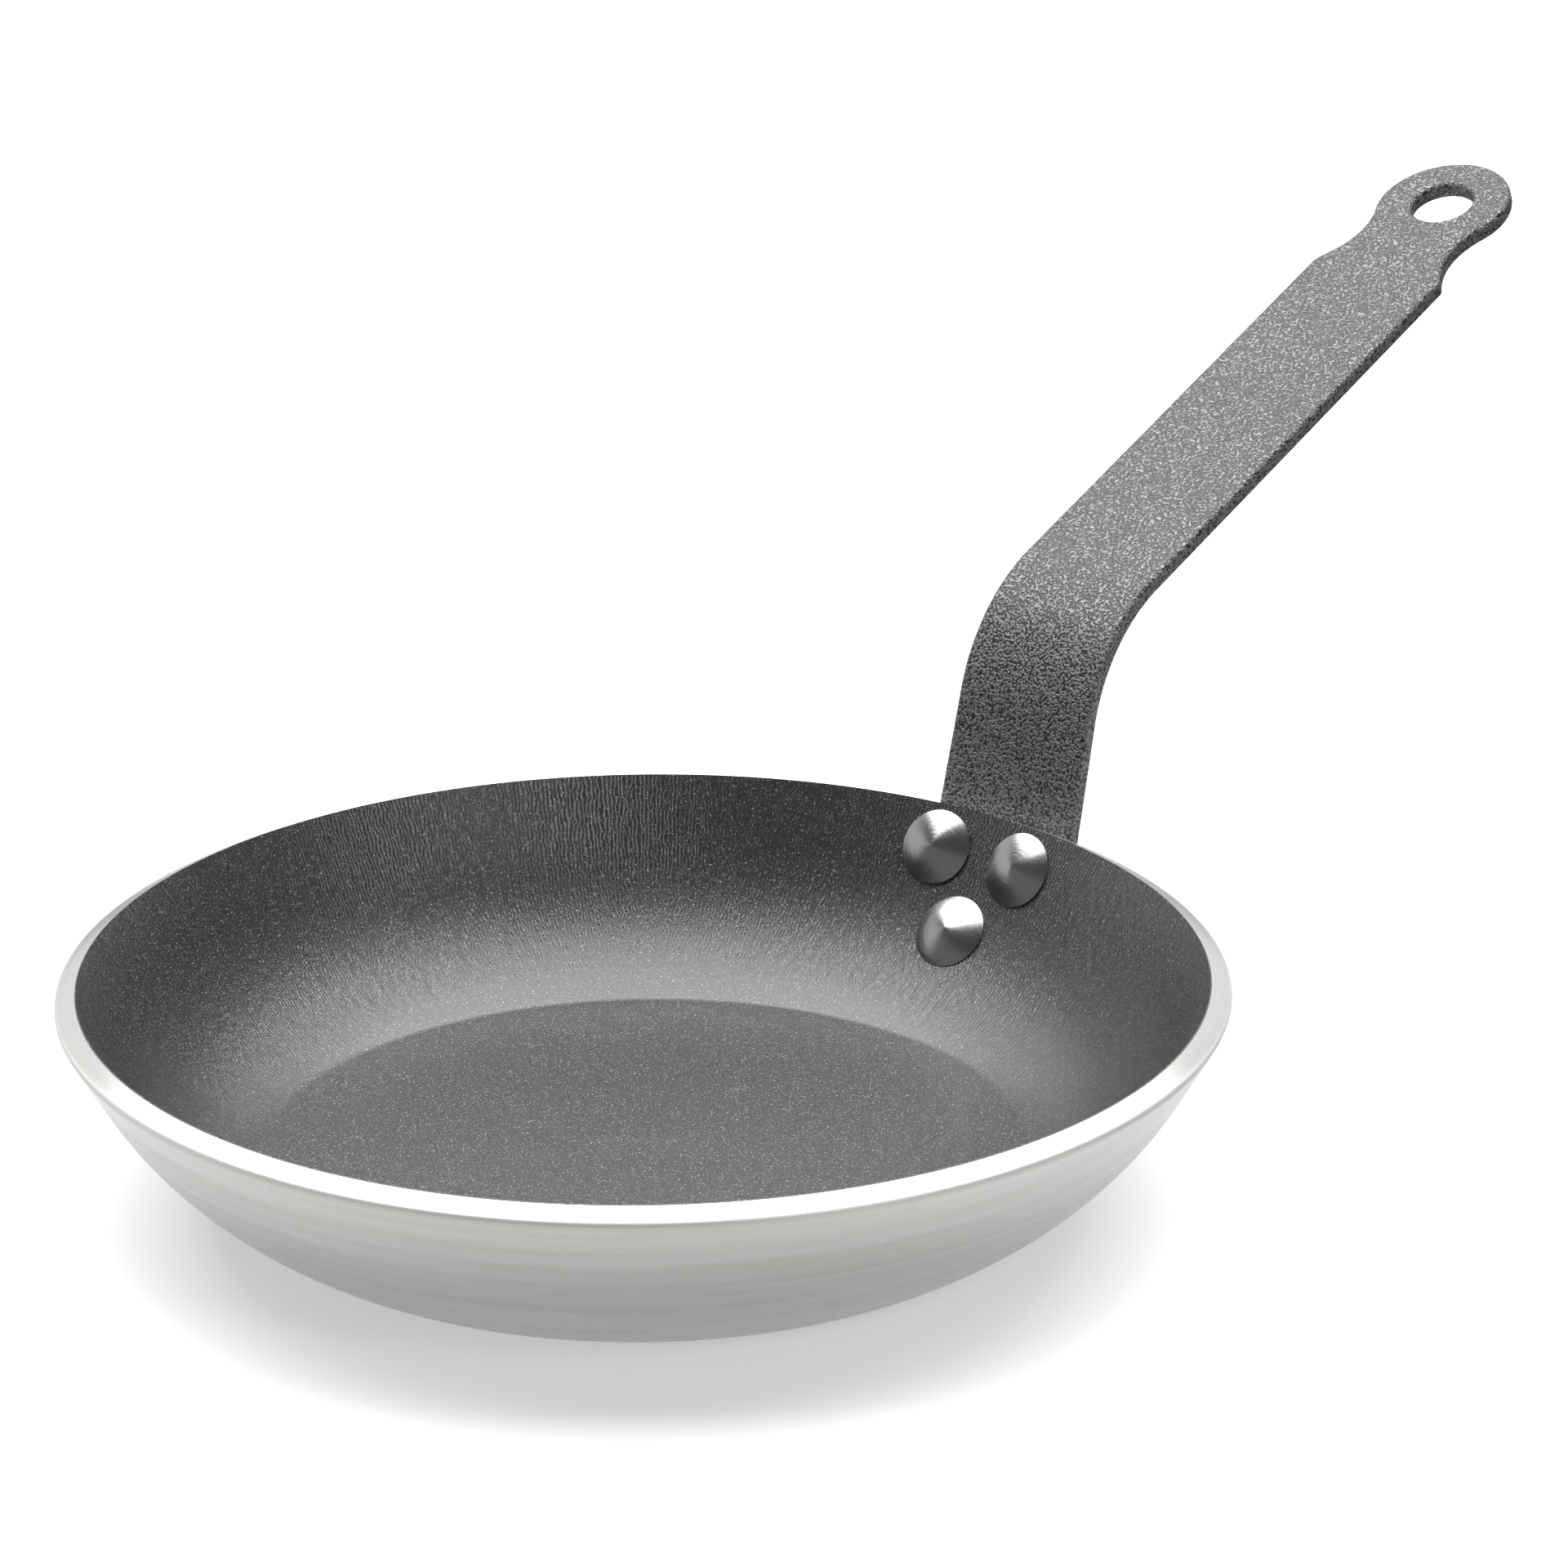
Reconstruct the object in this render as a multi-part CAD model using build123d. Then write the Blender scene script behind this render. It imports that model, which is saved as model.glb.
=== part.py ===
from build123d import *
import math
import os

# Omelette pan: a pressed aluminium bowl with a nonstick skin inside, and a bent steel strip for a
# handle, held by three rivets. Z is up, the origin is the middle of the underside of the base, and
# the handle points along +X. Lengths are in millimetres, angles in degrees.

# Bowl, as seen inside: the skin's own face
rim_inner_radius = 115.5
interior_depth = 38.8
interior_corner_round = 5.0
skin_thickness = 0.3

# Bowl wall: its lean and its straight top are alike inside and outside
wall_reach = 36.4
wall_lean = 30.0
wall_straight = 14.0

# Rim land, the bare metal ring that the cut edge shows
rim_land_width = 5.3
rim_land_slope = 25.0
rim_outer_round = 0.9

# Base
base_thickness = 6.2
base_flat_beyond_floor = 1.9
base_edge_round = 6.0

# Rivets: two below the rim and one under them; a dome fullness of a half would be a plain cone
rivet_first_drop = 9.7
rivet_second_drop = 27.1
rivet_pair_spacing = 22.4
rivet_shank_diameter = 6.0
rivet_hole_clearance = 0.1
rivet_head_diameter = 16.5
rivet_head_height = 3.0
rivet_head_edge = 0.7
dome_fullness_share = 0.78
rivet_tail_diameter = 11.0
rivet_tail_height = 2.4
rivet_tail_round = 1.6
rivet_seat_sink = 1.2

# Handle strip
strip_thickness = 3.8
strip_width = 34.3
strip_edge_round = 0.9
flange_beside_rivets = 6.95
flange_width = rivet_pair_spacing + 2 * flange_beside_rivets
flange_end_margin = 13.0
flange_end_round = 15.0
flange_lean = 12.3
flange_rise = 23.1
flange_relief_radius = 8.0
flange_seat_bite = 0.2
bend_radius = 39.7
arm_elevation = 21.9
arm_lean = 90 - arm_elevation

# Sections that carry the strip from the flange's round end through the bend
flange_end_steps = 6
flange_steps = 3
relief_steps = 2
rise_steps = 3
bend_steps = 4

# Arm outline, measured from the end of the bend to the middle of the eye
arm_length = 142.9
eye_radius = 15.9
eye_hole_diameter = 14.4
eye_hole_edge_round = 0.5
neck_width = 25.8
neck_before_eye = 14.6
shoulder_round_left = 9.0
shoulder_round_right = 1.0

# Overrun past what a cutter has to clear
cut_overrun = 10.0

# A cubic with this pull on its ends, times the tangent of a quarter of the turn, is a round arc
arc_pull_share = 4 / 3


def at(radius, height):
    """A point of the upright half plane that the bowl's sections are drawn in."""
    return Vector(radius, 0, height)


def along_wall(lean):
    """Unit vector up a wall that leans outwards by this angle from upright."""
    return at(math.sin(math.radians(lean)), math.cos(math.radians(lean)))


def out_of_wall(lean):
    """Unit vector square to that wall, out of the bowl."""
    return at(math.cos(math.radians(lean)), -math.sin(math.radians(lean)))


class WallCurve:
    """Section of a bowl wall: straight at the rim, then one tangent arc, then a rounded corner."""

    def __init__(self, rim, foot, corner_round):
        self.rim = rim
        self.foot = foot
        self.corner_round = corner_round
        self.out = out_of_wall(wall_lean)
        self.bend = rim - along_wall(wall_lean) * wall_straight
        chord = foot - self.bend
        self.radius = -chord.dot(chord) / (2 * chord.dot(self.out))
        self.centre = self.bend - self.out * self.radius
        rise = self.centre.Z - foot.Z - corner_round
        reach = math.sqrt((self.radius - corner_round) ** 2 - rise**2)
        self.corner = at(self.centre.X + reach, foot.Z + corner_round)

    def edges(self, gap=0):
        """Edges from the rim to the axis, this far outside the curve."""
        out_of_arc = (self.corner - self.centre).normalized()
        turn = math.acos(self.out.dot(out_of_arc))
        arc_radius = self.radius + gap
        arc_pull = arc_radius * math.tan(turn / 4) * arc_pull_share
        corner_radius = self.corner_round + gap
        rim = self.rim + self.out * gap
        bend = self.bend + self.out * gap
        first_pull = bend - along_wall(wall_lean) * arc_pull
        arc_end = self.centre + out_of_arc * arc_radius
        last_pull = arc_end + at(-out_of_arc.Z, out_of_arc.X) * arc_pull
        corner_middle = self.corner + (out_of_arc - Vector(0, 0, 1)).normalized() * corner_radius
        corner_end = self.corner - Vector(0, 0, corner_radius)
        return [
            Line(rim, bend),
            Bezier(bend, first_pull, last_pull, arc_end),
            ThreePointArc(arc_end, corner_middle, corner_end),
            Line(corner_end, at(0, corner_end.Z)),
        ]

    def place(self, distance):
        """Point, and lean there, at this distance down the wall from the rim."""
        if distance <= wall_straight:
            return self.rim - along_wall(wall_lean) * distance, wall_lean
        lean = wall_lean + math.degrees((distance - wall_straight) / self.radius)
        return self.centre + out_of_wall(lean) * self.radius, lean


interior_floor_radius = rim_inner_radius - wall_reach
base_flat_radius = interior_floor_radius + base_flat_beyond_floor
rim_height = base_thickness + interior_depth
land_out = math.cos(math.radians(rim_land_slope)) * rim_land_width
land_drop = math.sin(math.radians(rim_land_slope)) * rim_land_width
inner_curve = WallCurve(
    at(rim_inner_radius, rim_height), at(interior_floor_radius, base_thickness), interior_corner_round
)
outer_curve = WallCurve(
    at(rim_inner_radius + land_out, rim_height - land_drop), at(base_flat_radius, 0), base_edge_round
)


def turned(edges):
    """Solid of revolution about the pan's axis from a closed run of edges."""
    return revolve(make_face(edges), Axis.Z, 360)


def closed_by_lines(first, second):
    """Two runs from the rim to the axis, joined at the rim and on the axis."""
    rim_line = Line(first[0] @ 0, second[0] @ 0)
    axis_line = Line(first[-1] @ 1, second[-1] @ 1)
    return [*first, *second, rim_line, axis_line]


def bowl_blank():
    """Aluminium bowl before its rivet holes, with the land's outer edge rounded."""
    section = make_face(closed_by_lines(inner_curve.edges(skin_thickness), outer_curve.edges()))
    outermost = section.vertices().sort_by(Axis.X)[-1]
    return revolve(fillet(outermost, rim_outer_round), Axis.Z, 360)


def skin_blank():
    """Nonstick skin before its rivet holes; it ends at the land's inner edge."""
    return turned(closed_by_lines(inner_curve.edges(), inner_curve.edges(skin_thickness)))


def wall_grip(point, lean):
    """Distance through skin and wall from a point on the skin, square to the wall there."""
    through = out_of_wall(lean)
    square = outer_curve.out
    straight_grip = (outer_curve.rim - point).dot(square) / through.dot(square)
    hit = point + through * straight_grip
    if (outer_curve.rim - hit).dot(along_wall(wall_lean)) <= wall_straight:
        return straight_grip
    from_centre = point - outer_curve.centre
    ahead = from_centre.dot(through)
    return math.sqrt(ahead**2 + outer_curve.radius**2 - from_centre.dot(from_centre)) - ahead


def rivet_places():
    """For each rivet: its plane, Z into the bowl and square to the wall, and its grip."""
    upper, upper_lean = inner_curve.place(rivet_first_drop)
    lower, lower_lean = inner_curve.place(rivet_second_drop)
    aside = math.degrees(math.asin(rivet_pair_spacing / 2 / upper.X))
    upper_plane = Plane(origin=upper, x_dir=(0, 1, 0), z_dir=-out_of_wall(upper_lean))
    lower_plane = Plane(origin=lower, x_dir=(0, 1, 0), z_dir=-out_of_wall(lower_lean))
    upper_grip = wall_grip(upper, upper_lean)
    return {
        "rivet_upper_left": (Plane(Rot(0, 0, aside) * upper_plane.location), upper_grip),
        "rivet_upper_right": (Plane(Rot(0, 0, -aside) * upper_plane.location), upper_grip),
        "rivet_lower": (lower_plane, wall_grip(lower, lower_lean)),
    }


def rivet_drill(plane, grip):
    """Cylinder that drills skin, bowl and flange for one rivet."""
    radius = rivet_shank_diameter / 2 + rivet_hole_clearance
    length = grip + strip_thickness + 2 * cut_overrun
    drill = Cylinder(radius, length, align=(Align.CENTER, Align.CENTER, Align.MAX))
    return plane * Pos(0, 0, cut_overrun) * drill


def rivet(plane, grip, bowl_and_skin, strip):
    """One rivet: domed head in the bowl, shank, and the tail formed against the strip."""
    head_radius = rivet_head_diameter / 2
    dome_rise = rivet_head_height - rivet_head_edge
    dome_pull = at(head_radius / 2, rivet_head_edge + dome_rise * dome_fullness_share)
    top = at(0, rivet_head_height)
    edge_top = at(head_radius, rivet_head_edge)
    edge_bottom = at(head_radius, -rivet_seat_sink)
    bottom = at(0, -rivet_seat_sink)
    dome = Bezier(edge_top, dome_pull, top)
    sides = [Line(top, bottom), Line(bottom, edge_bottom), Line(edge_bottom, edge_top)]
    head = plane * turned([dome, *sides]) - bowl_and_skin
    under = grip + strip_thickness
    tail_blank = Cylinder(
        rivet_tail_diameter / 2,
        rivet_tail_height + rivet_seat_sink,
        align=(Align.CENTER, Align.CENTER, Align.MIN),
    )
    tail_blank = fillet(tail_blank.edges().sort_by(Axis.Z)[0], rivet_tail_round)
    tail = plane * Pos(0, 0, -under - rivet_tail_height) * tail_blank - strip
    shank_length = under + rivet_head_edge + rivet_tail_height / 2
    shank = Cylinder(
        rivet_shank_diameter / 2, shank_length, align=(Align.CENTER, Align.CENTER, Align.MAX)
    )
    return head + plane * Pos(0, 0, rivet_head_edge) * shank + tail


def strip_section(point, lean, half_width, curvature, bite):
    """Closed section of the strip: its inner face passes through the point, less the bite.

    The section bends round the bowl with the curvature given, and its four corners are round.
    """
    plane = Plane(origin=point, x_dir=(0, 1, 0), z_dir=along_wall(lean))
    diagonal_share = math.sqrt(1 / 2)
    edge = strip_edge_round
    round_middle = edge * (1 - diagonal_share)

    def spot(aside, depth):
        """Place on the section: this far to the side along it, this deep from its inner face."""
        if curvature == 0:
            return plane.from_local_coords(Vector(aside, -depth))
        radius = 1 / curvature + depth
        turn = aside * curvature
        inwards = 1 / curvature - radius * math.cos(turn)
        return plane.from_local_coords(Vector(radius * math.sin(turn), inwards))

    def face_edge(depth, side):
        """One broad face of the strip, from one side to the other."""
        first = spot(-side * (half_width - edge), depth)
        last = spot(side * (half_width - edge), depth)
        if curvature == 0:
            return Line(first, last)
        return ThreePointArc(first, spot(0, depth), last)

    def corner(side, depth, inwards):
        """One round corner, from the broad face at this depth to the strip's side."""
        return [
            spot(side * (half_width - edge), depth),
            spot(side * (half_width - round_middle), depth + inwards * round_middle),
            spot(side * half_width, depth + inwards * edge),
        ]

    near_right = corner(1, -bite, 1)
    far_right = corner(1, strip_thickness, -1)
    near_left = corner(-1, -bite, 1)
    far_left = corner(-1, strip_thickness, -1)
    return Wire(
        [
            face_edge(-bite, 1),
            ThreePointArc(*near_right),
            Line(near_right[-1], far_right[-1]),
            ThreePointArc(*reversed(far_right)),
            face_edge(strip_thickness, -1),
            ThreePointArc(*far_left),
            Line(far_left[-1], near_left[-1]),
            ThreePointArc(*reversed(near_left)),
        ]
    )


def arc_steps(start, lean_from, lean_to, radius, count):
    """Points and leans along an arc that turns a path from one lean to another."""
    side = 1 if lean_to > lean_from else -1
    centre = start + out_of_wall(lean_from) * radius * side
    steps = []
    for step in range(1, count + 1):
        lean = lean_from + (lean_to - lean_from) * step / count
        steps.append((centre - out_of_wall(lean) * radius * side, lean))
    return steps


def relief_drop():
    """Distance down the wall at which the strip leaves it, to turn round the rim's rounded edge."""
    land_corner = math.radians(90 - wall_lean + rim_land_slope)
    turn = math.radians(wall_lean - flange_lean)
    past_edge = (flange_relief_radius - rim_outer_round) * math.tan(turn / 2)
    return rim_outer_round / math.tan(land_corner / 2) + past_edge


def flange_sections():
    """Sections from the flange's rounded lower end up the bowl's wall to where it leaves it."""
    length = rivet_second_drop + flange_end_margin
    sections = []
    turns = [math.radians(90 * step / flange_end_steps) for step in range(flange_end_steps)]
    rises = [flange_end_round * (1 - math.cos(turn)) for turn in turns]
    rest = length - flange_end_round - relief_drop()
    rises += [flange_end_round + rest * step / flange_steps for step in range(flange_steps + 1)]
    for rise in rises:
        point, lean = outer_curve.place(length - rise)
        short = max(flange_end_round - rise, 0)
        inset = flange_end_round - math.sqrt(flange_end_round**2 - short**2)
        curvature = math.cos(math.radians(lean)) / point.X
        sections.append(
            strip_section(point, lean, flange_width / 2 - inset, curvature, flange_seat_bite)
        )
    return sections


def rising_sections():
    """Sections round the rim's edge and up to the end of the bend; the bend's are flat."""
    start, _ = outer_curve.place(relief_drop())
    relief = arc_steps(start, wall_lean, flange_lean, flange_relief_radius, relief_steps)
    top, _ = relief[-1]
    up = along_wall(flange_lean) * flange_rise
    straight = [(top + up * step / rise_steps, flange_lean) for step in range(1, rise_steps + 1)]
    bend = arc_steps(top + up, flange_lean, arm_lean, bend_radius, bend_steps)
    path = relief + straight + bend
    rim_curvature = math.cos(math.radians(wall_lean)) / outer_curve.rim.X
    sections = []
    for number, (point, lean) in enumerate(path, start=1):
        narrowing = number / len(path)
        half_width = (flange_width + (strip_width - flange_width) * narrowing) / 2
        flattening = max(number - relief_steps, 0) / rise_steps
        curvature = rim_curvature * max(1 - flattening, 0)
        sections.append(strip_section(point, lean, half_width, curvature, 0))
    return sections, bend[-1][0]


def arm_outline():
    """Flat outline of the arm: straight bar, waisted neck and round eye."""
    half_strip = strip_width / 2
    half_neck = neck_width / 2
    eye = Vector(arm_length, 0)
    waist = arm_length - neck_before_eye
    spare = neck_before_eye**2 + half_neck**2 - eye_radius**2
    notch_radius = spare / (2 * (eye_radius - half_neck))
    notch_aside = half_neck + notch_radius
    shoulder = waist - math.sqrt(notch_radius**2 - (notch_aside - half_strip) ** 2)
    to_notch = Vector(-neck_before_eye, notch_aside).normalized()
    meeting = eye + to_notch * eye_radius
    left = [
        Line(Vector(0, half_strip), Vector(shoulder, half_strip)),
        ThreePointArc(Vector(shoulder, half_strip), Vector(waist, half_neck), meeting),
    ]
    right = [edge.mirror(Plane.XZ) for edge in left]
    other = Vector(meeting.X, -meeting.Y)
    ends = [
        ThreePointArc(meeting, eye + Vector(eye_radius, 0), other),
        Line(Vector(0, half_strip), Vector(0, -half_strip)),
    ]
    outline = make_face([*left, *right, *ends])
    rounds = {half_strip: shoulder_round_left, -half_strip: shoulder_round_right}
    for aside, radius in rounds.items():
        corner = outline.vertices().sort_by_distance(Vector(shoulder, aside))[0]
        outline = fillet(corner, radius)
    return outline


def arm(start):
    """Arm of the handle from the end of the bend, with its hanging hole and rounded edges."""
    rise = math.radians(arm_elevation)
    along = Vector(math.cos(rise), 0, math.sin(rise))
    plane = Plane(origin=start, x_dir=along, z_dir=-out_of_wall(arm_lean))
    bar = extrude(arm_outline(), -strip_thickness)
    outer_edges = [
        edge
        for edge in bar.edges()
        if edge.bounding_box().size.Z < strip_edge_round < edge.bounding_box().max.X
    ]
    bar = fillet(outer_edges, strip_edge_round)
    bar -= extrude(Pos(arm_length, 0) * Circle(eye_hole_diameter / 2), -strip_thickness)
    hole_edges = [edge for edge in bar.edges() if edge.is_closed]
    return plane * fillet(hole_edges, eye_hole_edge_round)


def handle_blank():
    """Handle before its rivet holes: formed flange, bend and arm in one strip."""
    rising, bend_end = rising_sections()
    lower = Solid.make_loft(flange_sections() + rising)
    return Part([lower]) + arm(bend_end)


body = bowl_blank()
skin = skin_blank()
strip = handle_blank() - body
body_and_skin = body + skin
rivets = rivet_places()
drills = [rivet_drill(plane, grip) for plane, grip in rivets.values()]

parts = {
    "pan_body": body - drills,
    "nonstick_coating": skin - drills,
    "handle": strip - drills,
}
for name, (plane, grip) in rivets.items():
    parts[name] = rivet(plane, grip, body_and_skin, strip)

os.makedirs("parts", exist_ok=True)
for name, shape in parts.items():
    shape.label = name
    export_step(shape, f"parts/{name}.step")
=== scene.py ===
import math

import bmesh
import bpy
from mathutils import Euler, Matrix, Vector


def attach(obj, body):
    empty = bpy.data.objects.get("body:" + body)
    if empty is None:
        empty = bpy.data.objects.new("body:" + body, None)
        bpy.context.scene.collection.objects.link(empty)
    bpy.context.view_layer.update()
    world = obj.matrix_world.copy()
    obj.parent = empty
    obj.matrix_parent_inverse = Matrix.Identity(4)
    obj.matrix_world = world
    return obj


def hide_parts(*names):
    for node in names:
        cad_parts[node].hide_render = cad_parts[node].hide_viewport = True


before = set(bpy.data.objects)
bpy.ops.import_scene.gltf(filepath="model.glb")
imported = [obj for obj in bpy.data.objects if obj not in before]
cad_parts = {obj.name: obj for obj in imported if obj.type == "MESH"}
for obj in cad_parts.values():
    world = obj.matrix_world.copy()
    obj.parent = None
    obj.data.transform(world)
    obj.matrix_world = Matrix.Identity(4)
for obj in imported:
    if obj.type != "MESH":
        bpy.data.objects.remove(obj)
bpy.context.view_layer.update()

# Sizes in millimetres and angles in degrees, as the CAD model has them
mm = 0.001
rim_inner_radius = 115.5
interior_depth = 38.8
interior_floor_radius = 79.1
interior_corner_round = 5.0
skin_thickness = 0.3
wall_lean = 30.0
wall_straight = 14.0
rim_land_width = 5.3
rim_land_slope = 25.0
rim_outer_round = 0.9
base_thickness = 6.2
base_flat_radius = 81.0
base_edge_round = 6.0

rivet_first_drop = 9.7
rivet_second_drop = 27.1
rivet_pair_spacing = 22.4
rivet_shank_diameter = 6.0
rivet_head_diameter = 16.5
rivet_head_height = 3.0
rivet_head_edge = 0.7
dome_fullness_share = 0.78
rivet_tail_diameter = 11.0
rivet_tail_height = 2.4
rivet_tail_round = 1.6
rivet_seat_sink = 1.2

strip_thickness = 3.8
strip_width = 34.3
strip_edge_round = 0.9
flange_width = 36.3
flange_end_margin = 13.0
flange_end_round = 15.0
flange_lean = 12.3
flange_rise = 23.1
flange_relief_radius = 8.0
bend_radius = 39.7
arm_elevation = 21.9
arm_lean = 90 - arm_elevation
arm_length = 142.9
eye_radius = 15.9
eye_hole_diameter = 14.4
neck_width = 25.8
neck_before_eye = 14.6
shoulder_round_left = 9.0
shoulder_round_right = 1.0

# Sizes in millimetres that only the drawn pieces have: the wall and skin that each rivet grips,
# which the CAD model works out as 5.28 and 5.34, and the rolled edge of each rivet's head
wall_grip = 5.3
rivet_edge_bulge = 0.05
rivet_edge_widest_at = 0.45
rivet_edge_round = 0.2

# How near a point is picked by its place, and how near two points are welded, in millimetres
pick_reach = 0.3
lathe_weld = 0.01
strip_weld = 0.02

# Steps of each curve; the bowl and the skin have the same ones where they touch
lathe_steps = 360
seat_corner_steps = 6
seat_arc_steps = 26
rivet_lathe_steps = 96
dome_steps = 24
flange_end_steps = 8
flange_steps = 10
relief_steps = 8
rise_steps = 12
bend_steps = 16
arm_steps = 8
across_steps = 14


def spot(radius, height):
    """A point of the upright plane through the handle, in metres."""
    return Vector((radius, 0, height)) * mm


def up_wall(lean):
    """Unit vector up a wall that leans outwards by this angle from upright."""
    return Vector((math.sin(math.radians(lean)), 0, math.cos(math.radians(lean))))


def out_of_wall(lean):
    """Unit vector square to that wall, out of the bowl."""
    return Vector((math.cos(math.radians(lean)), 0, -math.sin(math.radians(lean))))


class Wall:
    """Section of a bowl wall: straight at the rim, then one tangent arc, then a round corner."""

    def __init__(self, rim, foot, corner_round):
        self.rim = rim
        self.corner_round = corner_round * mm
        self.out = out_of_wall(wall_lean)
        self.bend = rim - up_wall(wall_lean) * wall_straight * mm
        chord = foot - self.bend
        self.radius = -chord.length_squared / (2 * chord.dot(self.out))
        self.centre = self.bend - self.out * self.radius
        rise = self.centre.z - foot.z - self.corner_round
        reach = math.sqrt((self.radius - self.corner_round) ** 2 - rise**2)
        self.corner = Vector((self.centre.x + reach, 0, foot.z + self.corner_round))
        away = (self.corner - self.centre).normalized()
        self.arc_turn = math.degrees(self.out.angle(away))
        self.corner_turn = math.degrees(away.angle(Vector((0, 0, -1))))

    def place(self, distance):
        """Point, and lean there, at this distance in millimetres down the wall from the rim."""
        if distance <= wall_straight:
            return self.rim - up_wall(wall_lean) * distance * mm, wall_lean
        lean = wall_lean + math.degrees((distance - wall_straight) * mm / self.radius)
        return self.centre + out_of_wall(lean) * self.radius, lean


rim_height = base_thickness + interior_depth
land_out = math.cos(math.radians(rim_land_slope)) * rim_land_width
land_drop = math.sin(math.radians(rim_land_slope)) * rim_land_width
inner_wall = Wall(
    spot(rim_inner_radius, rim_height), spot(interior_floor_radius, base_thickness), interior_corner_round
)
outer_wall = Wall(
    spot(rim_inner_radius + land_out, rim_height - land_drop), spot(base_flat_radius, 0), base_edge_round
)


# Modelling


def select_where(piece, test):
    """In edit mode, selects the points of the piece whose place passes the test."""
    bpy.ops.mesh.select_all(action="DESELECT")
    mesh = bmesh.from_edit_mesh(piece.data)
    for vert in mesh.verts:
        vert.select_set(test(vert.co))
    mesh.select_flush(True)
    bmesh.update_edit_mesh(piece.data)


class Pen:
    """Draws a chain of edges by hand: each stroke extrudes or spins the last point."""

    def __init__(self, start, name=None):
        """Starts a new piece of this name or, without one, a new chain in the piece being edited."""
        if name:
            bpy.ops.object.select_all(action="DESELECT")
            bpy.ops.mesh.primitive_plane_add(size=mm)
            bpy.context.object.name = name
            bpy.ops.object.mode_set(mode="EDIT")
            bpy.ops.mesh.select_mode(type="VERT")
            bpy.ops.mesh.select_all(action="SELECT")
        else:
            bpy.ops.mesh.select_all(action="DESELECT")
            bpy.ops.mesh.primitive_plane_add(size=mm)
        bpy.ops.mesh.merge(type="CENTER")
        bpy.ops.transform.translate(value=start)
        self.spot = Vector(start)

    def line(self, end):
        """Straight stroke to this point."""
        bpy.ops.mesh.extrude_region_move(TRANSFORM_OT_translate={"value": end - self.spot})
        self.spot = Vector(end)

    def arc(self, centre, degrees, steps, axis=(0, 1, 0)):
        """Round stroke; about +Y a positive turn goes from +X to +Z."""
        turn = math.radians(degrees)
        bpy.ops.mesh.spin(steps=steps, angle=turn, center=centre, axis=axis)
        self.spot = centre + Matrix.Rotation(-turn, 3, Vector(axis)) @ (self.spot - centre)

    def corner(self, at, onward, radius, steps):
        """Straight stroke towards a corner, and a round of this radius that faces the onward point."""
        before = (self.spot - at).normalized()
        after = (onward - at).normalized()
        half = before.angle(after) / 2
        centre = at + (before + after).normalized() * radius / math.sin(half)
        side = 1 if before.cross(after).y > 0 else -1
        self.line(at + before * radius / math.tan(half))
        self.arc(centre, side * (180 - math.degrees(2 * half)), steps)


def turn_on_lathe(piece, steps):
    """Spins the drawn section once about the upright axis and closes it."""
    bpy.ops.mesh.select_all(action="SELECT")
    bpy.ops.mesh.spin(steps=steps, angle=math.tau, center=(0, 0, 0), axis=(0, 0, 1))
    bpy.ops.mesh.select_all(action="SELECT")
    bpy.ops.mesh.remove_doubles(threshold=lathe_weld * mm)
    bpy.ops.mesh.normals_make_consistent(inside=False)
    bpy.ops.object.mode_set(mode="OBJECT")
    bpy.ops.object.shade_smooth_by_angle(angle=math.radians(30))
    return piece


def apply_modifiers(piece):
    """Applies the piece's modifiers in their order."""
    for modifier in list(piece.modifiers):
        bpy.ops.object.modifier_apply(modifier=modifier.name)


def draw_wall_up(pen, wall, gap, corner_steps, arc_steps):
    """Section of a wall from the floor's edge up to the rim, this far outside its curve."""
    pen.line(wall.corner - Vector((0, 0, wall.corner_round + gap)))
    pen.arc(wall.corner, wall.corner_turn, corner_steps)
    pen.arc(wall.centre, wall.arc_turn, arc_steps)
    pen.line(wall.rim + wall.out * gap)


def draw_wall_down(pen, wall, gap, corner_steps, arc_steps):
    """Section of a wall from the top of its arc down to its flat, this far outside its curve."""
    pen.line(wall.bend + wall.out * gap)
    pen.arc(wall.centre, -wall.arc_turn, arc_steps)
    pen.arc(wall.corner, -wall.corner_turn, corner_steps)


def make_pan_body():
    """Bowl pressed from one thick disc and turned on a lathe, with its rim cut square to the wall."""
    gap = skin_thickness * mm
    floor = spot(0, base_thickness - skin_thickness)
    pen = Pen(floor, "bowl")
    draw_wall_up(pen, inner_wall, gap, seat_corner_steps, seat_arc_steps)
    pen.corner(outer_wall.rim, outer_wall.bend, rim_outer_round * mm, steps=6)
    draw_wall_down(pen, outer_wall, 0, corner_steps=10, arc_steps=30)
    pen.line(spot(0, 0))
    return turn_on_lathe(bpy.context.object, lathe_steps)


def make_nonstick_skin():
    """Nonstick skin on the whole inside; it ends at the inner edge of the rim."""
    gap = skin_thickness * mm
    pen = Pen(spot(0, base_thickness), "nonstick_skin")
    draw_wall_up(pen, inner_wall, 0, corner_steps=8, arc_steps=34)
    pen.line(inner_wall.rim + inner_wall.out * gap)
    draw_wall_down(pen, inner_wall, gap, seat_corner_steps, seat_arc_steps)
    pen.line(spot(0, base_thickness - skin_thickness))
    return turn_on_lathe(bpy.context.object, lathe_steps)


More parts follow.
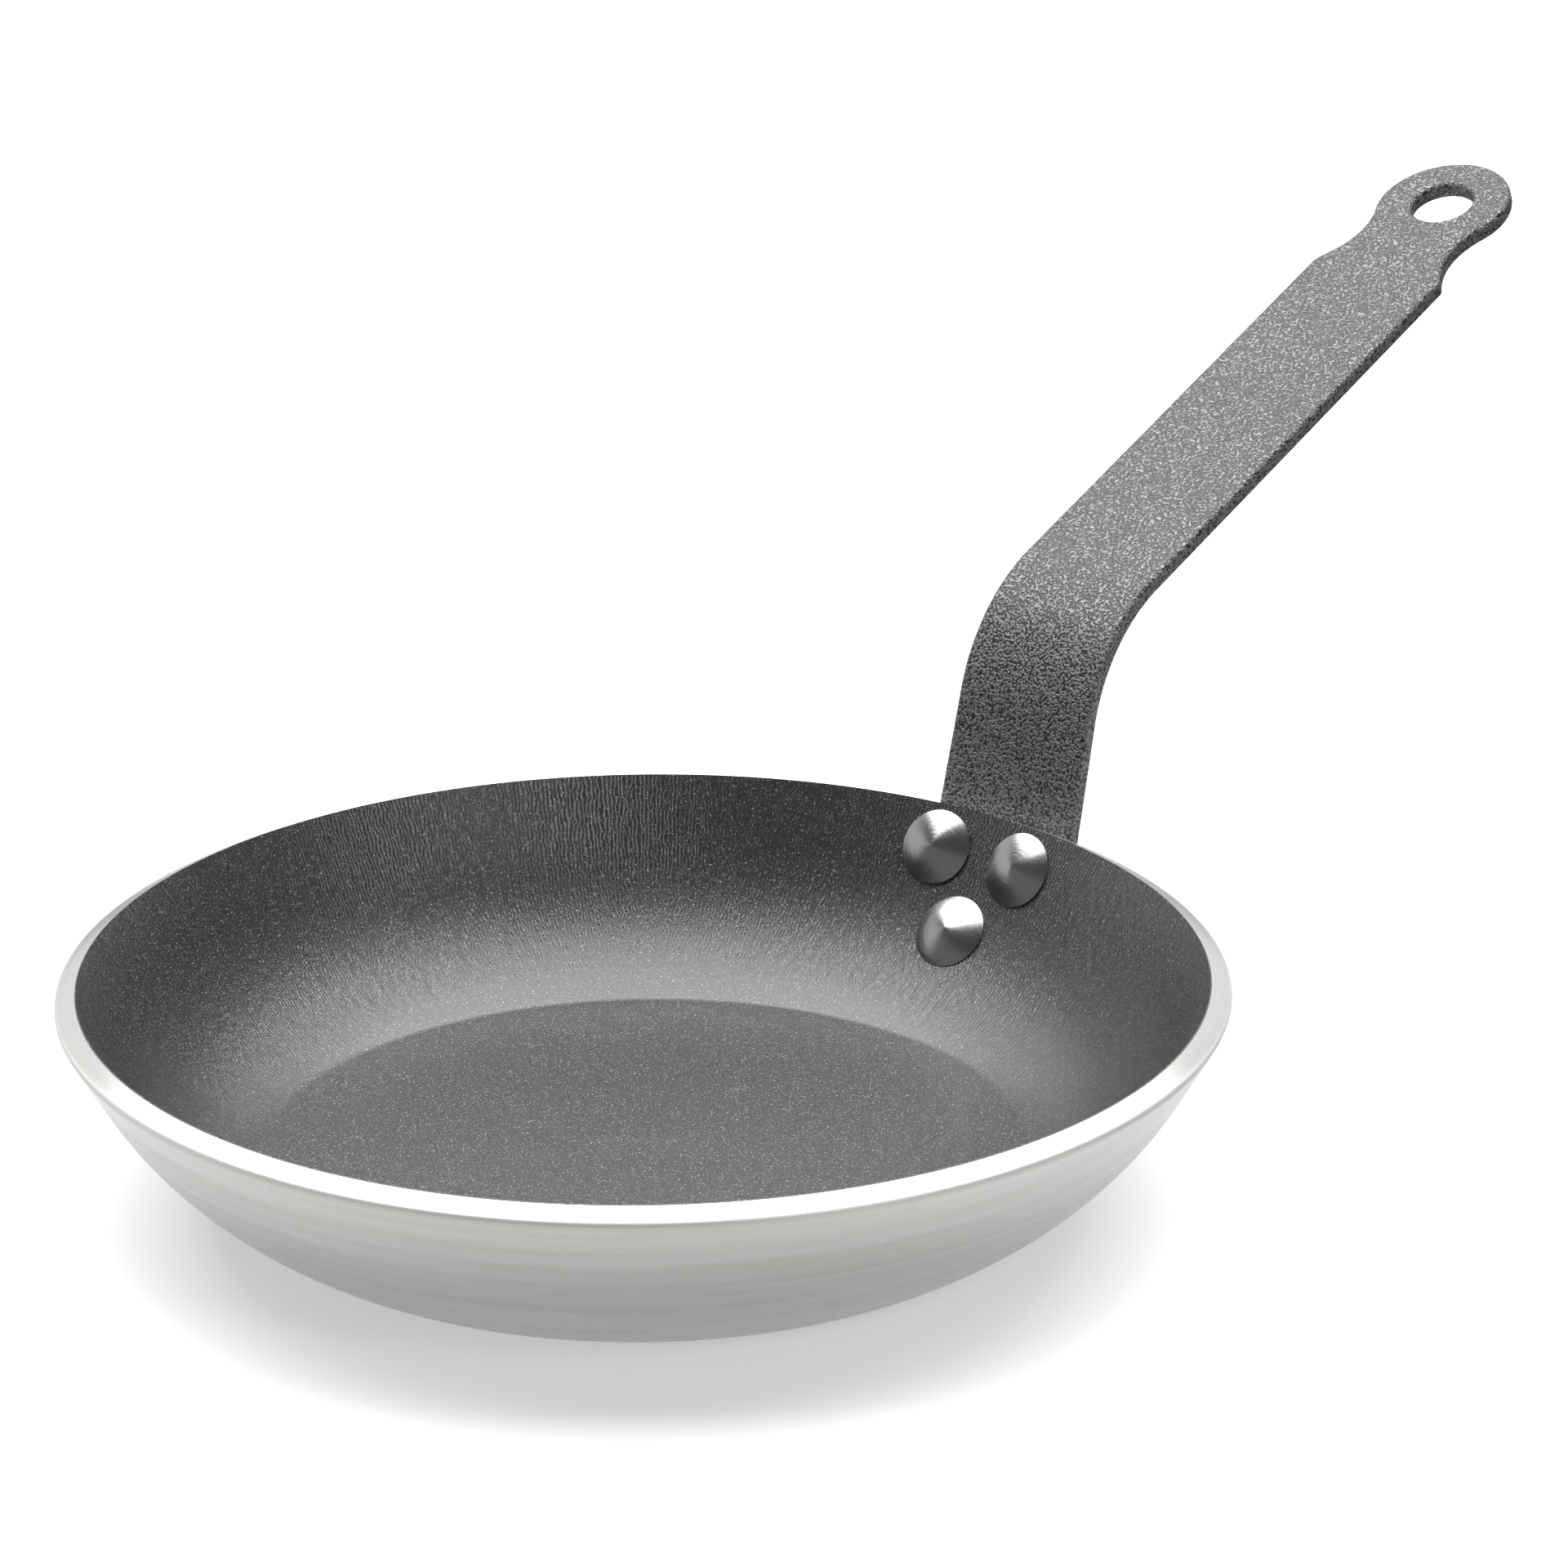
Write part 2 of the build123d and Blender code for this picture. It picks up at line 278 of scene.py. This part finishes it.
def make_rivet(name, plane):
    """One rivet, drawn upright at the origin and then set square in the wall."""
    head_radius = rivet_head_diameter / 2
    shank_radius = rivet_shank_diameter / 2
    tail_radius = rivet_tail_diameter / 2
    top = spot(0, rivet_head_height)
    edge = spot(head_radius, rivet_head_edge)
    dome_rise = rivet_head_height - rivet_head_edge
    pull = spot(head_radius / 2, rivet_head_edge + dome_rise * dome_fullness_share)
    pen = Pen(top, name)
    # The dome is a curve from its top to its edge, pulled out towards this point
    for step in range(1, dome_steps + 1):
        share = step / dome_steps
        pen.line(top.lerp(pull, share).lerp(pull.lerp(edge, share), share))
    # Head and tail are sunk into the wall and the strip, so that no gap shows
    foot = spot(head_radius, -rivet_seat_sink)
    widest = spot(head_radius + rivet_edge_bulge, rivet_edge_widest_at)
    pen.corner(widest, foot, rivet_edge_round * mm, steps=4)
    pen.line(foot)
    pen.line(spot(shank_radius, -rivet_seat_sink))
    tail_top = -wall_grip - strip_thickness + rivet_seat_sink
    tail_end = -wall_grip - strip_thickness - rivet_tail_height
    pen.line(spot(shank_radius, tail_top))
    pen.line(spot(tail_radius, tail_top))
    pen.corner(spot(tail_radius, tail_end), spot(0, tail_end), rivet_tail_round * mm, steps=8)
    pen.line(spot(0, tail_end))
    piece = turn_on_lathe(bpy.context.object, rivet_lathe_steps)
    # Its metal reads the place that each point had on the lathe
    made_at = piece.data.attributes.new("made_at", "FLOAT_VECTOR", "POINT")
    for vert in piece.data.vertices:
        made_at.data[vert.index].vector = vert.co
    piece.matrix_world = plane
    bpy.ops.object.transform_apply(location=True, rotation=True, scale=True)
    return piece


def rivet_planes():
    """Where each rivet sits on the skin: +Z into the bowl and square to the wall."""
    places = {}
    upper, upper_lean = inner_wall.place(rivet_first_drop)
    lower, lower_lean = inner_wall.place(rivet_second_drop)
    aside = math.asin(rivet_pair_spacing * mm / 2 / upper.x)
    for name, point, lean, turn in (
        ("rivet_upper_left", upper, upper_lean, aside),
        ("rivet_upper_right", upper, upper_lean, -aside),
        ("rivet_lower", lower, lower_lean, 0),
    ):
        into_bowl = -out_of_wall(lean)
        across = Vector((0, 1, 0))
        square = Matrix((across, into_bowl.cross(across), into_bowl)).transposed().to_4x4()
        places[name] = Matrix.Rotation(turn, 4, "Z") @ Matrix.Translation(point) @ square
    return places


def strip_rows():
    """Rows across the strip's inner face, from the flange's round end to the arm.

    Each has its middle point, lean, half width in millimetres, and bow as one over its radius.
    """
    length = rivet_second_drop + flange_end_margin
    rim_bow = math.cos(math.radians(wall_lean)) / outer_wall.rim.x
    land_corner = math.radians(90 - wall_lean + rim_land_slope)
    turn = math.radians(wall_lean - flange_lean)
    past_edge = (flange_relief_radius - rim_outer_round) * math.tan(turn / 2)
    relief_drop = rim_outer_round / math.tan(land_corner / 2) + past_edge
    rises = []
    # The first row lies 10 degrees up the round end, so that it has some width
    first_turn = 10
    for step in range(flange_end_steps + 1):
        end_turn = math.radians(first_turn + (90 - first_turn) * step / flange_end_steps)
        rises.append(flange_end_round * (1 - math.cos(end_turn)))
    rest = length - flange_end_round - relief_drop
    rises += [flange_end_round + rest * step / flange_steps for step in range(1, flange_steps + 1)]
    rows = []
    for rise in rises:
        point, lean = outer_wall.place(length - rise)
        short = max(flange_end_round - rise, 0)
        inset = flange_end_round - math.sqrt(flange_end_round**2 - short**2)
        bow = math.cos(math.radians(lean)) / point.x
        rows.append((point, lean, flange_width / 2 - inset, bow))

    relief_centre = rows[-1][0] - out_of_wall(wall_lean) * flange_relief_radius * mm
    path = []
    for step in range(1, relief_steps + 1):
        lean = wall_lean + (flange_lean - wall_lean) * step / relief_steps
        path.append((relief_centre + out_of_wall(lean) * flange_relief_radius * mm, lean))
    top = path[-1][0]
    for step in range(1, rise_steps + 1):
        path.append((top + up_wall(flange_lean) * flange_rise * mm * step / rise_steps, flange_lean))
    bend_centre = path[-1][0] + out_of_wall(flange_lean) * bend_radius * mm
    for step in range(1, bend_steps + 1):
        lean = flange_lean + (arm_lean - flange_lean) * step / bend_steps
        path.append((bend_centre - out_of_wall(lean) * bend_radius * mm, lean))

    for number, (point, lean) in enumerate(path, start=1):
        narrowing = number / len(path)
        half_width = (flange_width + (strip_width - flange_width) * narrowing) / 2
        flattening = max(number - relief_steps, 0) / rise_steps
        rows.append((point, lean, half_width, rim_bow * max(1 - flattening, 0)))
    return rows


def bridge_rows(rows, name):
    """Draws each row as an arc across a new piece and bridges them; gives the piece and its pen."""
    # A flat row is an arc of 20 m radius
    least_bow = 1 / 20
    for number, (point, lean, half_width, bow) in enumerate(rows):
        curve = max(bow, least_bow)
        centre = point - out_of_wall(lean) / curve
        half_turn = half_width * mm * curve
        swing = Matrix.Rotation(half_turn, 3, up_wall(lean))
        pen = Pen(centre + swing @ (point - centre), None if number else name)
        pen.arc(centre, math.degrees(2 * half_turn), across_steps, up_wall(lean))
    bpy.ops.mesh.select_all(action="SELECT")
    bpy.ops.mesh.bridge_edge_loops()
    return bpy.context.object, pen


def thicken_strip(piece):
    """Gives the drawn face the strip's thickness, outwards and down, and rounds its edges."""
    bpy.ops.mesh.select_all(action="SELECT")
    bpy.ops.mesh.normals_make_consistent(inside=False)
    bpy.ops.object.mode_set(mode="OBJECT")
    # The thickness goes away from the normals, so the first face has to look back at the bowl
    if piece.data.polygons[0].normal.x > 0:
        bpy.ops.object.mode_set(mode="EDIT")
        bpy.ops.mesh.flip_normals()
        bpy.ops.object.mode_set(mode="OBJECT")
    thicken = piece.modifiers.new("thickness", "SOLIDIFY")
    thicken.thickness = strip_thickness * mm
    thicken.offset = -1
    thicken.use_even_offset = True
    rounded = piece.modifiers.new("rounded_edges", "BEVEL")
    rounded.width = strip_edge_round * mm
    rounded.segments = 4
    rounded.limit_method = "ANGLE"
    rounded.angle_limit = math.radians(40)
    rounded.use_clamp_overlap = False
    apply_modifiers(piece)
    bpy.ops.object.shade_smooth()
    piece.modifiers.new("even_shading", "WEIGHTED_NORMAL")
    apply_modifiers(piece)


def make_handle():
    """One bent strip: its inner face is drawn row by row and bridged, the eye drawn on, then thickened."""
    rows = strip_rows()
    bend_end = rows[-1][0]
    along = up_wall(arm_lean)
    out_of_top = -out_of_wall(arm_lean)
    half_strip = strip_width / 2
    half_neck = neck_width / 2
    waist = arm_length - neck_before_eye
    spare = neck_before_eye**2 + half_neck**2 - eye_radius**2
    notch_radius = spare / (2 * (eye_radius - half_neck))
    notch_aside = half_neck + notch_radius

    def on_arm(far, aside):
        """Point of the arm's top face, in millimetres from the end of the bend."""
        return bend_end + along * far * mm + Vector((0, aside * mm, 0))

    def shoulder_centre(rounding):
        """Distance along the arm at which a shoulder with this rounding begins."""
        apart = notch_radius + rounding
        return waist - math.sqrt(apart**2 - (notch_aside - half_strip + rounding) ** 2)

    arm_end = shoulder_centre(shoulder_round_left)
    for step in range(1, arm_steps + 1):
        rows.append((on_arm(arm_end * step / arm_steps, 0), arm_lean, half_strip, 0))
    piece, pen = bridge_rows(rows, "strip_handle")

    def far_along(place):
        """Distance of a place along the arm, in millimetres from the end of the bend."""
        return (place - bend_end).dot(along) / mm

    # Outline of the neck and the eye, each side from the strip's last row to the far end
    eye_centre = on_arm(arm_length, 0)
    for side, rounding, steps in ((1, shoulder_round_left, 6), (-1, shoulder_round_right, 3)):
        corner_far = shoulder_centre(rounding)
        shoulder = on_arm(corner_far, side * (half_strip - rounding))
        notch = on_arm(waist, side * notch_aside)
        start = on_arm(arm_end, side * half_strip)
        select_where(piece, lambda place: (place - start).length < pick_reach * mm)
        pen.spot = start
        if corner_far > arm_end:
            pen.line(on_arm(corner_far, side * half_strip))
        first_turn = (notch - shoulder).angle(Vector((0, side, 0)))
        to_eye = (eye_centre - notch).normalized()
        second_turn = (shoulder - notch).angle(to_eye)
        third_turn = math.pi - (notch - eye_centre).angle(-along)
        pen.arc(shoulder, side * math.degrees(first_turn), steps, out_of_top)
        pen.arc(notch, -side * math.degrees(second_turn), steps=14, axis=out_of_top)
        pen.arc(eye_centre, side * math.degrees(third_turn), steps=40, axis=out_of_top)

    # The hole, and a seam before and past it, so that each half of the eye fills with one face
    bpy.ops.mesh.select_all(action="DESELECT")
    slope = Euler((0, math.radians(-arm_elevation), 0))
    hole_radius = eye_hole_diameter / 2
    bpy.ops.mesh.primitive_circle_add(
        vertices=64, radius=hole_radius * mm, location=eye_centre, rotation=slope
    )
    bpy.ops.mesh.select_all(action="SELECT")
    bpy.ops.mesh.remove_doubles(threshold=strip_weld * mm)
    before_hole = arm_end, arm_length - hole_radius
    past_hole = arm_length + hole_radius, arm_length + eye_radius
    for painted_shade_for_pan, far in (before_hole, past_hole):
        ends = on_arm(painted_shade_for_pan, 0), on_arm(far, 0)
        select_where(piece, lambda place: min((place - end).length for end in ends) < pick_reach * mm)
        bpy.ops.mesh.edge_face_add()
    for side in (1, -1):
        select_where(
            piece,
            lambda place: far_along(place) > arm_end - pick_reach and place.y * side > -strip_weld * mm,
        )
        bpy.ops.mesh.edge_face_add()
    thicken_strip(piece)
    return piece


# Materials


def linear(hex_colour):
    """An sRGB hex colour as linear red, green, blue and alpha."""
    parts = [int(hex_colour[start : start + 2], 16) / 255 for start in (0, 2, 4)]
    return [part / 12.92 if part <= 0.04045 else ((part + 0.055) / 1.055) ** 2.4 for part in parts] + [1]


def add_node(tree, kind, feeds, **settings):
    """Adds a node with its settings; feeds give each socket a value, or a socket or node to link."""
    node = tree.nodes.new("ShaderNode" + kind)
    for name, value in settings.items():
        setattr(node, name, value)
    for socket, value in feeds.items():
        if isinstance(value, bpy.types.Node):
            value = next(output for output in value.outputs if output.enabled)
        if isinstance(value, bpy.types.NodeSocket):
            tree.links.new(value, node.inputs[socket])
        else:
            node.inputs[socket].default_value = value
    return node


def new_material(name):
    """An empty node material and its tree."""
    material = bpy.data.materials.new(name)
    material.use_nodes = True
    material.node_tree.nodes.clear()
    return material, material.node_tree


def lathe_place(tree, place):
    """The place as a lathe sees it, a unit circle and the way along the section; and the radius."""
    # Radius and height are added, so that rings follow one another on floor and wall alike
    radius_weight = 0.9
    apart = add_node(tree, "SeparateXYZ", {0: place})
    flat = add_node(tree, "CombineXYZ", {0: apart.outputs[0], 1: apart.outputs[1]})
    radius = add_node(tree, "VectorMath", {0: flat}, operation="LENGTH")
    round_way = add_node(tree, "VectorMath", {0: flat}, operation="NORMALIZE")
    sloped = add_node(
        tree, "Math", {0: radius, 1: radius_weight, 2: apart.outputs[2]}, operation="MULTIPLY_ADD"
    )
    section_way = add_node(tree, "CombineXYZ", {2: sloped})
    return add_node(tree, "VectorMath", {0: round_way, 1: section_way}, operation="ADD"), radius


def turned_aluminium():
    """Aluminium, turned and satin polished on a lathe."""
    # Gives the eye a soft silvery sheen, drawn out up and down the wall by rings too fine to count
    material, tree = new_material("satin_turned_aluminium")
    object_place = add_node(tree, "TexCoord", {}).outputs["Object"]
    place, radius = lathe_place(tree, object_place)
    # Polishing rings, drawn 0.7 mm wide, as the real ones of about 0.1 mm are too fine to show
    ring_cell = add_node(tree, "VectorMath", {0: place, 1: (0.8, 0.8, 0.7 * mm)}, operation="DIVIDE")
    rings = add_node(tree, "TexNoise", {"Vector": ring_cell, "Scale": 1.0, "Detail": 2.0})
    # Faint bands 5 mm wide, where the polish was pressed harder
    band_cell = add_node(tree, "VectorMath", {0: place, 1: (0.9, 0.9, 5 * mm)}, operation="DIVIDE")
    bands = add_node(tree, "TexNoise", {"Vector": band_cell, "Scale": 1.0, "Detail": 2.0})
    band = add_node(tree, "MapRange", {"Value": bands, "From Min": 0.3, "From Max": 0.7})
    colour = add_node(tree, "Mix", {0: band, 6: linear("CDCDCA"), 7: linear("D9D9D7")}, data_type="RGBA")
    polish = add_node(
        tree, "MapRange", {"Value": rings, "From Min": 0.3, "From Max": 0.7, "To Min": 0.27, "To Max": 0.31}
    )
    # The rim's outer edge, 119.9 mm from the middle, is worn matt
    wear_starts_at = 119.2
    wear_full_at = 119.7
    worn = add_node(
        tree,
        "MapRange",
        {"Value": radius, "From Min": wear_starts_at * mm, "From Max": wear_full_at * mm, "To Max": 0.3},
    )
    roughness = add_node(tree, "Math", {0: polish, 1: worn}, operation="ADD")
    bump = add_node(tree, "Bump", {"Height": rings, "Distance": 0.015 * mm, "Strength": 0.12})
    round_axis = add_node(tree, "Tangent", {}, direction_type="RADIAL", axis="Z")
    metal = add_node(
        tree,
        "BsdfPrincipled",
        {
            "Base Color": colour,
            "Roughness": roughness,
            "Metallic": 1.0,
            "Anisotropic": 0.6,
            "Anisotropic Rotation": 0.25,
            "Tangent": round_axis,
            "Normal": bump,
        },
    )
    add_node(tree, "OutputMaterial", {0: metal})
    return material


def nonstick_coat():
    """PTFE nonstick coat, sprayed and baked."""
    # Gives the eye a dark grey skin with a silky sheen, fine grain, glinting flecks and a ribbed wall
    material, tree = new_material("ptfe_nonstick_coat")
    object_place = add_node(tree, "TexCoord", {}).outputs["Object"]
    place, radius = lathe_place(tree, object_place)
    # Mineral flecks of 0.2 mm that glint in the coat
    fleck_cell = add_node(tree, "VectorMath", {0: object_place, 1: (0.3 * mm,) * 3}, operation="DIVIDE")
    flecks = add_node(tree, "TexNoise", {"Vector": fleck_cell, "Scale": 1.0, "Detail": 0.0})
    fleck = add_node(tree, "MapRange", {"Value": flecks, "From Min": 0.68, "From Max": 0.84})
    # Grain of the sprayed coat, drawn 0.4 mm wide, as the real one of about 0.1 mm is too fine to show
    grain_cell = add_node(tree, "VectorMath", {0: object_place, 1: (0.42 * mm,) * 3}, operation="DIVIDE")
    grain = add_node(tree, "TexNoise", {"Vector": grain_cell, "Scale": 1.0, "Detail": 2.0})
    light = add_node(tree, "MapRange", {"Value": grain, "From Min": 0.35, "From Max": 0.65})
    body = add_node(tree, "Mix", {0: light, 6: linear("121411"), 7: linear("3A3C37")}, data_type="RGBA")
    colour = add_node(tree, "Mix", {0: fleck, 6: body, 7: linear("B4B5B0")}, data_type="RGBA")
    # Wavy ridges up the wall, where pressing drew the disc in. Half way up they are drawn 0.8 mm
    # apart, a little coarser than the real 0.7 mm, so that they show. On the floor they are faint
    ridge_count = 780
    ridge_sway_radians = 12
    ridges_start_at = 78
    ridges_full_at = 88
    apart = add_node(tree, "SeparateXYZ", {0: object_place})
    angle = add_node(tree, "Math", {0: apart.outputs[1], 1: apart.outputs[0]}, operation="ARCTAN2")
    sway_cell = add_node(tree, "VectorMath", {0: place, 1: (0.02, 0.02, 3 * mm)}, operation="DIVIDE")
    sway = add_node(tree, "TexNoise", {"Vector": sway_cell, "Scale": 1.0, "Detail": 2.0})
    sideways = add_node(tree, "Math", {0: sway, 1: ridge_sway_radians}, operation="MULTIPLY")
    phase = add_node(tree, "Math", {0: angle, 1: ridge_count, 2: sideways}, operation="MULTIPLY_ADD")
    ridges = add_node(tree, "Math", {0: phase}, operation="SINE")
    on_wall = add_node(
        tree,
        "MapRange",
        {"Value": radius, "From Min": ridges_start_at * mm, "From Max": ridges_full_at * mm, "To Min": 0.1},
    )
    ribbed = add_node(tree, "Bump", {"Height": ridges, "Distance": 0.033 * mm, "Strength": on_wall})
    grainy = add_node(
        tree, "Bump", {"Height": grain, "Distance": 0.1 * mm, "Strength": 0.5, "Normal": ribbed}
    )
    coat = add_node(
        tree,
        "BsdfPrincipled",
        {"Base Color": colour, "Roughness": 0.3, "IOR": 1.7, "Normal": grainy},
    )
    add_node(tree, "OutputMaterial", {0: coat})
    return material


def silver_vein_powder_coat():
    """Epoxy powder coat with silver veins, baked on steel."""
    # Gives the eye a dark pebbled paint whose raised veins shine silver wherever light falls on them
    material, tree = new_material("silver_vein_powder_coat")
    object_place = add_node(tree, "TexCoord", {}).outputs["Object"]
    # Veins and dimples 0.6 mm across, as the powder flows out in the oven
    vein_cell = add_node(tree, "VectorMath", {0: object_place, 1: (0.62 * mm,) * 3}, operation="DIVIDE")
    veins = add_node(tree, "TexNoise", {"Vector": vein_cell, "Scale": 1.0, "Detail": 1.0})
    vein = add_node(tree, "MapRange", {"Value": veins, "From Min": 0.38, "From Max": 0.62})
    colour = add_node(tree, "Mix", {0: vein, 6: linear("0E0E0E"), 7: linear("808080")}, data_type="RGBA")
    silver = add_node(tree, "Math", {0: vein, 1: 0.5}, operation="MULTIPLY")
    bump = add_node(tree, "Bump", {"Height": vein, "Distance": 0.26 * mm, "Strength": 1.0})
    coat = add_node(
        tree,
        "BsdfPrincipled",
        {"Base Color": colour, "Roughness": 0.32, "IOR": 1.6, "Metallic": silver, "Normal": bump},
    )
    add_node(tree, "OutputMaterial", {0: coat})
    return material


def polished_aluminium():
    """Aluminium, polished by the spinning rivet set."""
    # Gives the eye soft bright and dark sectors on each dome, with faint rings and scuffs in them
    material, tree = new_material("polished_rivet_aluminium")
    made_at = add_node(tree, "Attribute", {}, attribute_name="made_at").outputs["Vector"]
    place, _ = lathe_place(tree, made_at)
    # Rings 0.4 mm wide round the middle of each head
    ring_cell = add_node(tree, "VectorMath", {0: place, 1: (1.2, 1.2, 0.4 * mm)}, operation="DIVIDE")
    rings = add_node(tree, "TexNoise", {"Vector": ring_cell, "Scale": 1.0, "Detail": 2.0})
    # Scuffs of 0.6 mm from handling
    scuff_cell = add_node(tree, "VectorMath", {0: made_at, 1: (0.6 * mm,) * 3}, operation="DIVIDE")
    scuffs = add_node(tree, "TexNoise", {"Vector": scuff_cell, "Scale": 1.0, "Detail": 3.0})
    roughness = add_node(
        tree,
        "MapRange",
        {"Value": scuffs, "From Min": 0.35, "From Max": 0.65, "To Min": 0.2, "To Max": 0.25},
    )
    bump = add_node(tree, "Bump", {"Height": rings, "Distance": 0.03 * mm, "Strength": 0.8})
    metal = add_node(
        tree,
        "BsdfPrincipled",
        {"Base Color": linear("9C9C9A"), "Roughness": roughness, "Metallic": 1.0, "Normal": bump},
    )
    add_node(tree, "OutputMaterial", {0: metal})
    return material


def white_floor():
    """Matt white acrylic table with a painted glow, as though lit from within."""
    # Gives the eye a blank white ground with a soft shadow under the pan, lightened by an even painted
    # glow.
    # To the camera it goes on for ever, but to the pan it turns darker and stops glowing past 0.26 m,
    # as painted shade, which keeps the outer wall's low parts grey
    material, tree = new_material("matt_white_acrylic")
    # Metres from the pan's middle
    lit_to = 0.26
    dark_from = 0.42
    to_camera = add_node(tree, "LightPath", {}).outputs["Is Camera Ray"]
    object_place = add_node(tree, "TexCoord", {}).outputs["Object"]
    away = add_node(tree, "VectorMath", {0: object_place}, operation="LENGTH")
    table = add_node(tree, "MapRange", {"Value": away, "From Min": dark_from, "From Max": lit_to})
    white = add_node(tree, "Math", {0: to_camera, 1: table}, operation="MAXIMUM")
    # Painted glow: 0.36 everywhere to the camera, but to the pan only within 0.26 to 0.42 m of it
    glow = add_node(tree, "Math", {0: white, 1: 0.36}, operation="MULTIPLY")
    # Painted shade: to the pan the table's colour falls from B0B0B0 near it to 505050 far off, while the
    # camera sees E0E0E0
    painted_shade_for_pan = add_node(tree, "Mix", {0: table, 6: linear("505050"), 7: linear("B0B0B0")}, data_type="RGBA")
    paint = add_node(tree, "Mix", {0: to_camera, 6: painted_shade_for_pan, 7: linear("E0E0E0")}, data_type="RGBA")
    acrylic = add_node(
        tree,
        "BsdfPrincipled",
        {
            "Base Color": paint,
            "Roughness": 0.6,
            "Specular IOR Level": 0.0,
            "Emission Color": (1, 1, 1, 1),
            "Emission Strength": glow,
        },
    )
    add_node(tree, "OutputMaterial", {0: acrylic})
    return material


def studio_walls():
    """Dark studio with a low bright screen behind the pan, a little to the left."""
    screen_azimuth = math.radians(64)
    world = bpy.data.worlds.new("studio")
    bpy.context.scene.world = world
    world.use_nodes = True
    tree = world.node_tree
    tree.nodes.clear()
    towards = add_node(tree, "TexCoord", {}).outputs["Generated"]
    height = add_node(tree, "SeparateXYZ", {0: towards}).outputs[2]
    middle = Vector((math.cos(screen_azimuth), math.sin(screen_azimuth), 0))
    behind = add_node(tree, "VectorMath", {0: towards, 1: middle}, operation="DOT_PRODUCT")
    # The screen fades out between 25 and 37 degrees up
    low = add_node(tree, "MapRange", {"Value": height, "From Min": 0.6, "From Max": 0.42})
    # It fades to about a fifth between 62 and 77 degrees to either side of its middle
    around = add_node(
        tree, "MapRange", {"Value": behind, "From Min": 0.22, "From Max": 0.47, "To Min": 0.22}
    )
    screen = add_node(tree, "Math", {0: low, 1: around}, operation="MULTIPLY")
    brightness = add_node(tree, "Math", {0: screen, 1: 0.9, 2: 0.1}, operation="MULTIPLY_ADD")
    sky = add_node(tree, "Background", {"Color": (1, 1, 1, 1), "Strength": brightness})
    add_node(tree, "OutputWorld", {0: sky})


def softbox(name, radiance, depth, width, azimuth, elevation):
    """Rectangular softbox, sized in metres, seen from the pan at this azimuth and elevation."""
    distance = 3
    lamp = bpy.data.lights.new(name, "AREA")
    lamp.shape = "RECTANGLE"
    lamp.size = depth
    lamp.size_y = width
    lamp.energy = radiance * math.pi * depth * width
    holder = bpy.data.objects.new(name, lamp)
    turn = Euler((0, math.radians(90 - elevation), math.radians(azimuth))).to_matrix()
    holder.matrix_world = Matrix.Translation(turn @ Vector((0, 0, distance))) @ turn.to_4x4()
    bpy.context.scene.collection.objects.link(holder)


def photo_camera():
    """The photo's camera; its place in metres and its turns in degrees come from a fit."""
    place = (-0.8966, -0.7899, 0.5321)
    azimuth = -50.00
    tilt_down = 20.49
    roll = -0.26
    lens = bpy.data.cameras.new("photo_view")
    lens.sensor_width = 36
    lens.sensor_height = 36
    lens.lens = 144.96
    lens.clip_start = 0.01
    camera = bpy.data.objects.new("photo_view", lens)
    camera.matrix_world = (
        Matrix.Translation(place)
        @ Matrix.Rotation(math.radians(azimuth), 4, "Z")
        @ Matrix.Rotation(math.radians(90 - tilt_down), 4, "X")
        @ Matrix.Rotation(math.radians(roll), 4, "Z")
    )
    bpy.context.scene.collection.objects.link(camera)
    bpy.context.scene.camera = camera
    bpy.context.scene.view_settings.view_transform = "Standard"


# Pieces


def fit(piece, material, node):
    """Gives a finished piece its material and body, and hides the CAD node that it stands in for."""
    piece.data.materials.clear()
    piece.data.materials.append(material)
    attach(piece, "root")
    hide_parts(node)


fit(make_pan_body(), turned_aluminium(), "pan_body")
fit(make_nonstick_skin(), nonstick_coat(), "nonstick_coating")
fit(make_handle(), silver_vein_powder_coat(), "handle")
rivet_metal = polished_aluminium()
for node_name, plane in rivet_planes().items():
    fit(make_rivet(f"{node_name}_dome", plane), rivet_metal, node_name)


# Studio

bpy.ops.object.select_all(action="DESELECT")
bpy.ops.mesh.primitive_plane_add(size=14)
floor = bpy.context.object
floor.name = "floor"
floor.data.materials.append(white_floor())

softbox("overhead_softbox", radiance=4.7, depth=3.5, width=5.2, azimuth=41, elevation=72)
softbox("front_lamp", radiance=6.0, depth=0.8, width=0.8, azimuth=-102, elevation=36)

studio_walls()
photo_camera()
